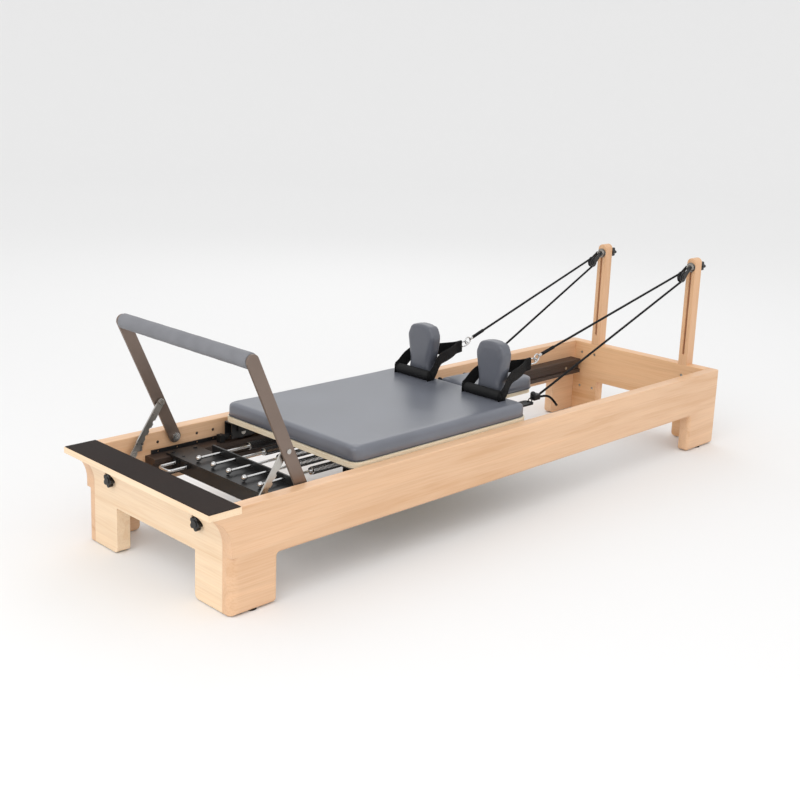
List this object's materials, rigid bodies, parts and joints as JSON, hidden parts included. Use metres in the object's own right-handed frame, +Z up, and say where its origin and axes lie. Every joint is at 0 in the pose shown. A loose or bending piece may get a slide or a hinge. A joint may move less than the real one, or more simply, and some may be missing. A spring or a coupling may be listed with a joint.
{
  "type": "pilates reformer",
  "caption": "Wooden pilates reformer with padded spring-loaded carriage, folding footbar, shoulder rests, headrest, and rope pulleys on slotted risers.",
  "frame": {"origin": "bottom centre of the bounding box: on the floor, on the machine's centre line, midway along it", "axes": "+X from the foot end (platform, footbar) to the head end (risers), +Y to the left of a user facing +X, +Z up"},
  "size_m": [2.4244, 0.69, 0.711],
  "materials": {
    "maple_rail": "satin lacquer",
    "ply_board": "satin lacquer",
    "dark_track": "brown anodised",
    "black_steel": "satin",
    "warm_steel": "metallic satin",
    "zinc": "satin",
    "chrome": "polished",
    "upholstery": "matte",
    "grip_foam": "matte",
    "black_rubber": "matte",
    "dark_grip": "pebbled",
    "black_plastic": "satin",
    "wheel_plastic": "satin",
    "webbing": "woven",
    "rope_braid": "braided"
  },
  "bodies": {
    "frame": {"side_rail_right": "maple_rail", "side_rail_left": "maple_rail", "foot_end_panel": "maple_rail", "head_end_panel": "maple_rail", "platform_board": "maple_rail", "platform_grip_pad": "dark_grip", "frame_fasteners": "zinc", "leg_glides": "black_rubber", "track_right": "dark_track", "track_left": "dark_track", "riser_post_right": "maple_rail", "riser_post_left": "maple_rail", "footbar_pivot_bolts": "zinc", "strut_rest_pins": "zinc", "index_plates": "black_steel", "carriage_bumpers": "black_rubber", "tension_springs": "chrome"},
    "carriage": {"carriage_board": "ply_board", "carriage_pad": "upholstery", "carriage_underframe": "black_steel", "wheel_axles": "zinc", "rest_brackets": "black_steel", "headrest_ears": "black_steel", "rope_adjusters": "black_plastic", "handle_grips": "black_rubber", "handle_straps": "webbing", "handle_rings": "chrome", "rope_right": "rope_braid", "rope_left": "rope_braid"},
    "spring_bar_assembly": {"spring_bar": "black_steel"},
    "pull_handle": {"spring_bar_handle": "chrome"},
    "footbar": {"footbar_arms": "warm_steel", "footbar_tube": "warm_steel", "footbar_grip": "grip_foam"},
    "struts": {"footbar_struts": "zinc"},
    "headrest": {"headrest_board": "ply_board", "headrest_pad": "upholstery", "headrest_cheeks": "black_steel"},
    "foot_right_wheel": {"wheel_foot_right": "wheel_plastic"},
    "foot_right_roller": {"guide_roller_foot_right": "wheel_plastic"},
    "head_right_wheel": {"wheel_head_right": "wheel_plastic"},
    "head_right_roller": {"guide_roller_head_right": "wheel_plastic"},
    "right_platform_knob": {"platform_knob_right": "black_plastic"},
    "right_shoulder_rest": {"rest_post_right": "black_steel", "shoulder_pad_right": "upholstery"},
    "right_pulley_carrier": {"riser_bolt_right": "chrome", "pulley_block_right": "black_plastic"},
    "right_sheave": {"pulley_sheave_right": "wheel_plastic"},
    "right_riser_knob": {"riser_knob_right": "black_plastic"},
    "foot_left_wheel": {"wheel_foot_left": "wheel_plastic"},
    "foot_left_roller": {"guide_roller_foot_left": "wheel_plastic"},
    "head_left_wheel": {"wheel_head_left": "wheel_plastic"},
    "head_left_roller": {"guide_roller_head_left": "wheel_plastic"},
    "left_platform_knob": {"platform_knob_left": "black_plastic"},
    "left_shoulder_rest": {"rest_post_left": "black_steel", "shoulder_pad_left": "upholstery"},
    "left_pulley_carrier": {"riser_bolt_left": "chrome", "pulley_block_left": "black_plastic"},
    "left_sheave": {"pulley_sheave_left": "wheel_plastic"},
    "left_riser_knob": {"riser_knob_left": "black_plastic"}
  },
  "joints": [
    {"name": "carriage_slide", "type": "slide", "parent": "frame", "child": "carriage", "axis": [1, 0, 0], "range_m": [0, 0.76], "stiffness_N_per_m": 400, "springref_m": -0.05, "deforming": ["tension_springs", "rope_right", "rope_left"]},
    {"name": "spring_bar_shift", "type": "slide", "parent": "frame", "child": "spring_bar_assembly", "axis": [1, 0, 0], "range_m": [-0.067, 0.067]},
    {"name": "pull_handle_hinge", "type": "hinge", "parent": "spring_bar_assembly", "child": "pull_handle", "pos_m": [-0.92125, 0.1905, 0.22], "axis": [0, 1, 0], "range_deg": [0, 75]},
    {"name": "footbar_hinge", "type": "hinge", "parent": "frame", "child": "footbar", "pos_m": [-0.87225, 0, 0.271], "axis": [0, 1, 0], "range_deg": [-50, 15]},
    {"name": "strut_hinge", "type": "hinge", "parent": "footbar", "child": "struts", "pos_m": [-0.92675, 0, 0.38976], "axis": [0, 1, 0], "range_deg": [-7.5, 25]},
    {"name": "headrest_hinge", "type": "hinge", "parent": "carriage", "child": "headrest", "pos_m": [0.07775, 0, 0.338], "axis": [0, -1, 0], "range_deg": [0, 30]},
    {"name": "foot_right_wheel_spin", "type": "hinge", "parent": "carriage", "child": "foot_right_wheel", "pos_m": [-0.64625, -0.273, 0.2521], "axis": [0, 1, 0], "continuous": true},
    {"name": "foot_right_roller_spin", "type": "hinge", "parent": "carriage", "child": "foot_right_roller", "pos_m": [-0.54125, -0.2905, 0.267], "axis": [0, 0, 1], "continuous": true},
    {"name": "head_right_wheel_spin", "type": "hinge", "parent": "carriage", "child": "head_right_wheel", "pos_m": [-0.00125, -0.273, 0.2521], "axis": [0, 1, 0], "continuous": true},
    {"name": "head_right_roller_spin", "type": "hinge", "parent": "carriage", "child": "head_right_roller", "pos_m": [-0.10125, -0.2905, 0.267], "axis": [0, 0, 1], "continuous": true},
    {"name": "right_platform_knob_turn", "type": "hinge", "parent": "frame", "child": "right_platform_knob", "pos_m": [-1.14125, -0.208, 0.219], "axis": [-1, 0, 0], "continuous": true},
    {"name": "right_rest_lift", "type": "slide", "parent": "carriage", "child": "right_shoulder_rest", "axis": [0, 0, 1], "range_m": [0, 0.03]},
    {"name": "right_pulley_height", "type": "slide", "parent": "frame", "child": "right_pulley_carrier", "axis": [0, 0, 1], "range_m": [-0.33, 0]},
    {"name": "right_sheave_spin", "type": "hinge", "parent": "right_pulley_carrier", "child": "right_sheave", "pos_m": [1.07175, -0.207, 0.645], "axis": [0, 1, 0], "continuous": true},
    {"name": "right_riser_knob_turn", "type": "hinge", "parent": "right_pulley_carrier", "child": "right_riser_knob", "pos_m": [1.18875, -0.207, 0.676], "axis": [1, 0, 0], "continuous": true},
    {"name": "foot_left_wheel_spin", "type": "hinge", "parent": "carriage", "child": "foot_left_wheel", "pos_m": [-0.64625, 0.273, 0.2521], "axis": [0, 1, 0], "continuous": true},
    {"name": "foot_left_roller_spin", "type": "hinge", "parent": "carriage", "child": "foot_left_roller", "pos_m": [-0.54125, 0.2905, 0.267], "axis": [0, 0, 1], "continuous": true},
    {"name": "head_left_wheel_spin", "type": "hinge", "parent": "carriage", "child": "head_left_wheel", "pos_m": [-0.00125, 0.273, 0.2521], "axis": [0, 1, 0], "continuous": true},
    {"name": "head_left_roller_spin", "type": "hinge", "parent": "carriage", "child": "head_left_roller", "pos_m": [-0.10125, 0.2905, 0.267], "axis": [0, 0, 1], "continuous": true},
    {"name": "left_platform_knob_turn", "type": "hinge", "parent": "frame", "child": "left_platform_knob", "pos_m": [-1.14125, 0.208, 0.219], "axis": [-1, 0, 0], "continuous": true},
    {"name": "left_rest_lift", "type": "slide", "parent": "carriage", "child": "left_shoulder_rest", "axis": [0, 0, 1], "range_m": [0, 0.03]},
    {"name": "left_pulley_height", "type": "slide", "parent": "frame", "child": "left_pulley_carrier", "axis": [0, 0, 1], "range_m": [-0.33, 0]},
    {"name": "left_sheave_spin", "type": "hinge", "parent": "left_pulley_carrier", "child": "left_sheave", "pos_m": [1.07175, 0.207, 0.645], "axis": [0, 1, 0], "continuous": true},
    {"name": "left_riser_knob_turn", "type": "hinge", "parent": "left_pulley_carrier", "child": "left_riser_knob", "pos_m": [1.18875, 0.207, 0.676], "axis": [1, 0, 0], "continuous": true}
  ],
  "couplings": [
    {"joint": "strut_hinge", "follows": "footbar_hinge", "ratio": -0.5},
    {"joint": "foot_right_wheel_spin", "follows": "carriage_slide", "rad_per_m": 41.667},
    {"joint": "foot_right_roller_spin", "follows": "carriage_slide", "rad_per_m": -71.429},
    {"joint": "head_right_wheel_spin", "follows": "carriage_slide", "rad_per_m": 41.667},
    {"joint": "head_right_roller_spin", "follows": "carriage_slide", "rad_per_m": -71.429},
    {"joint": "foot_left_wheel_spin", "follows": "carriage_slide", "rad_per_m": 41.667},
    {"joint": "foot_left_roller_spin", "follows": "carriage_slide", "rad_per_m": 71.429},
    {"joint": "head_left_wheel_spin", "follows": "carriage_slide", "rad_per_m": 41.667},
    {"joint": "head_left_roller_spin", "follows": "carriage_slide", "rad_per_m": 71.429}
  ]
}
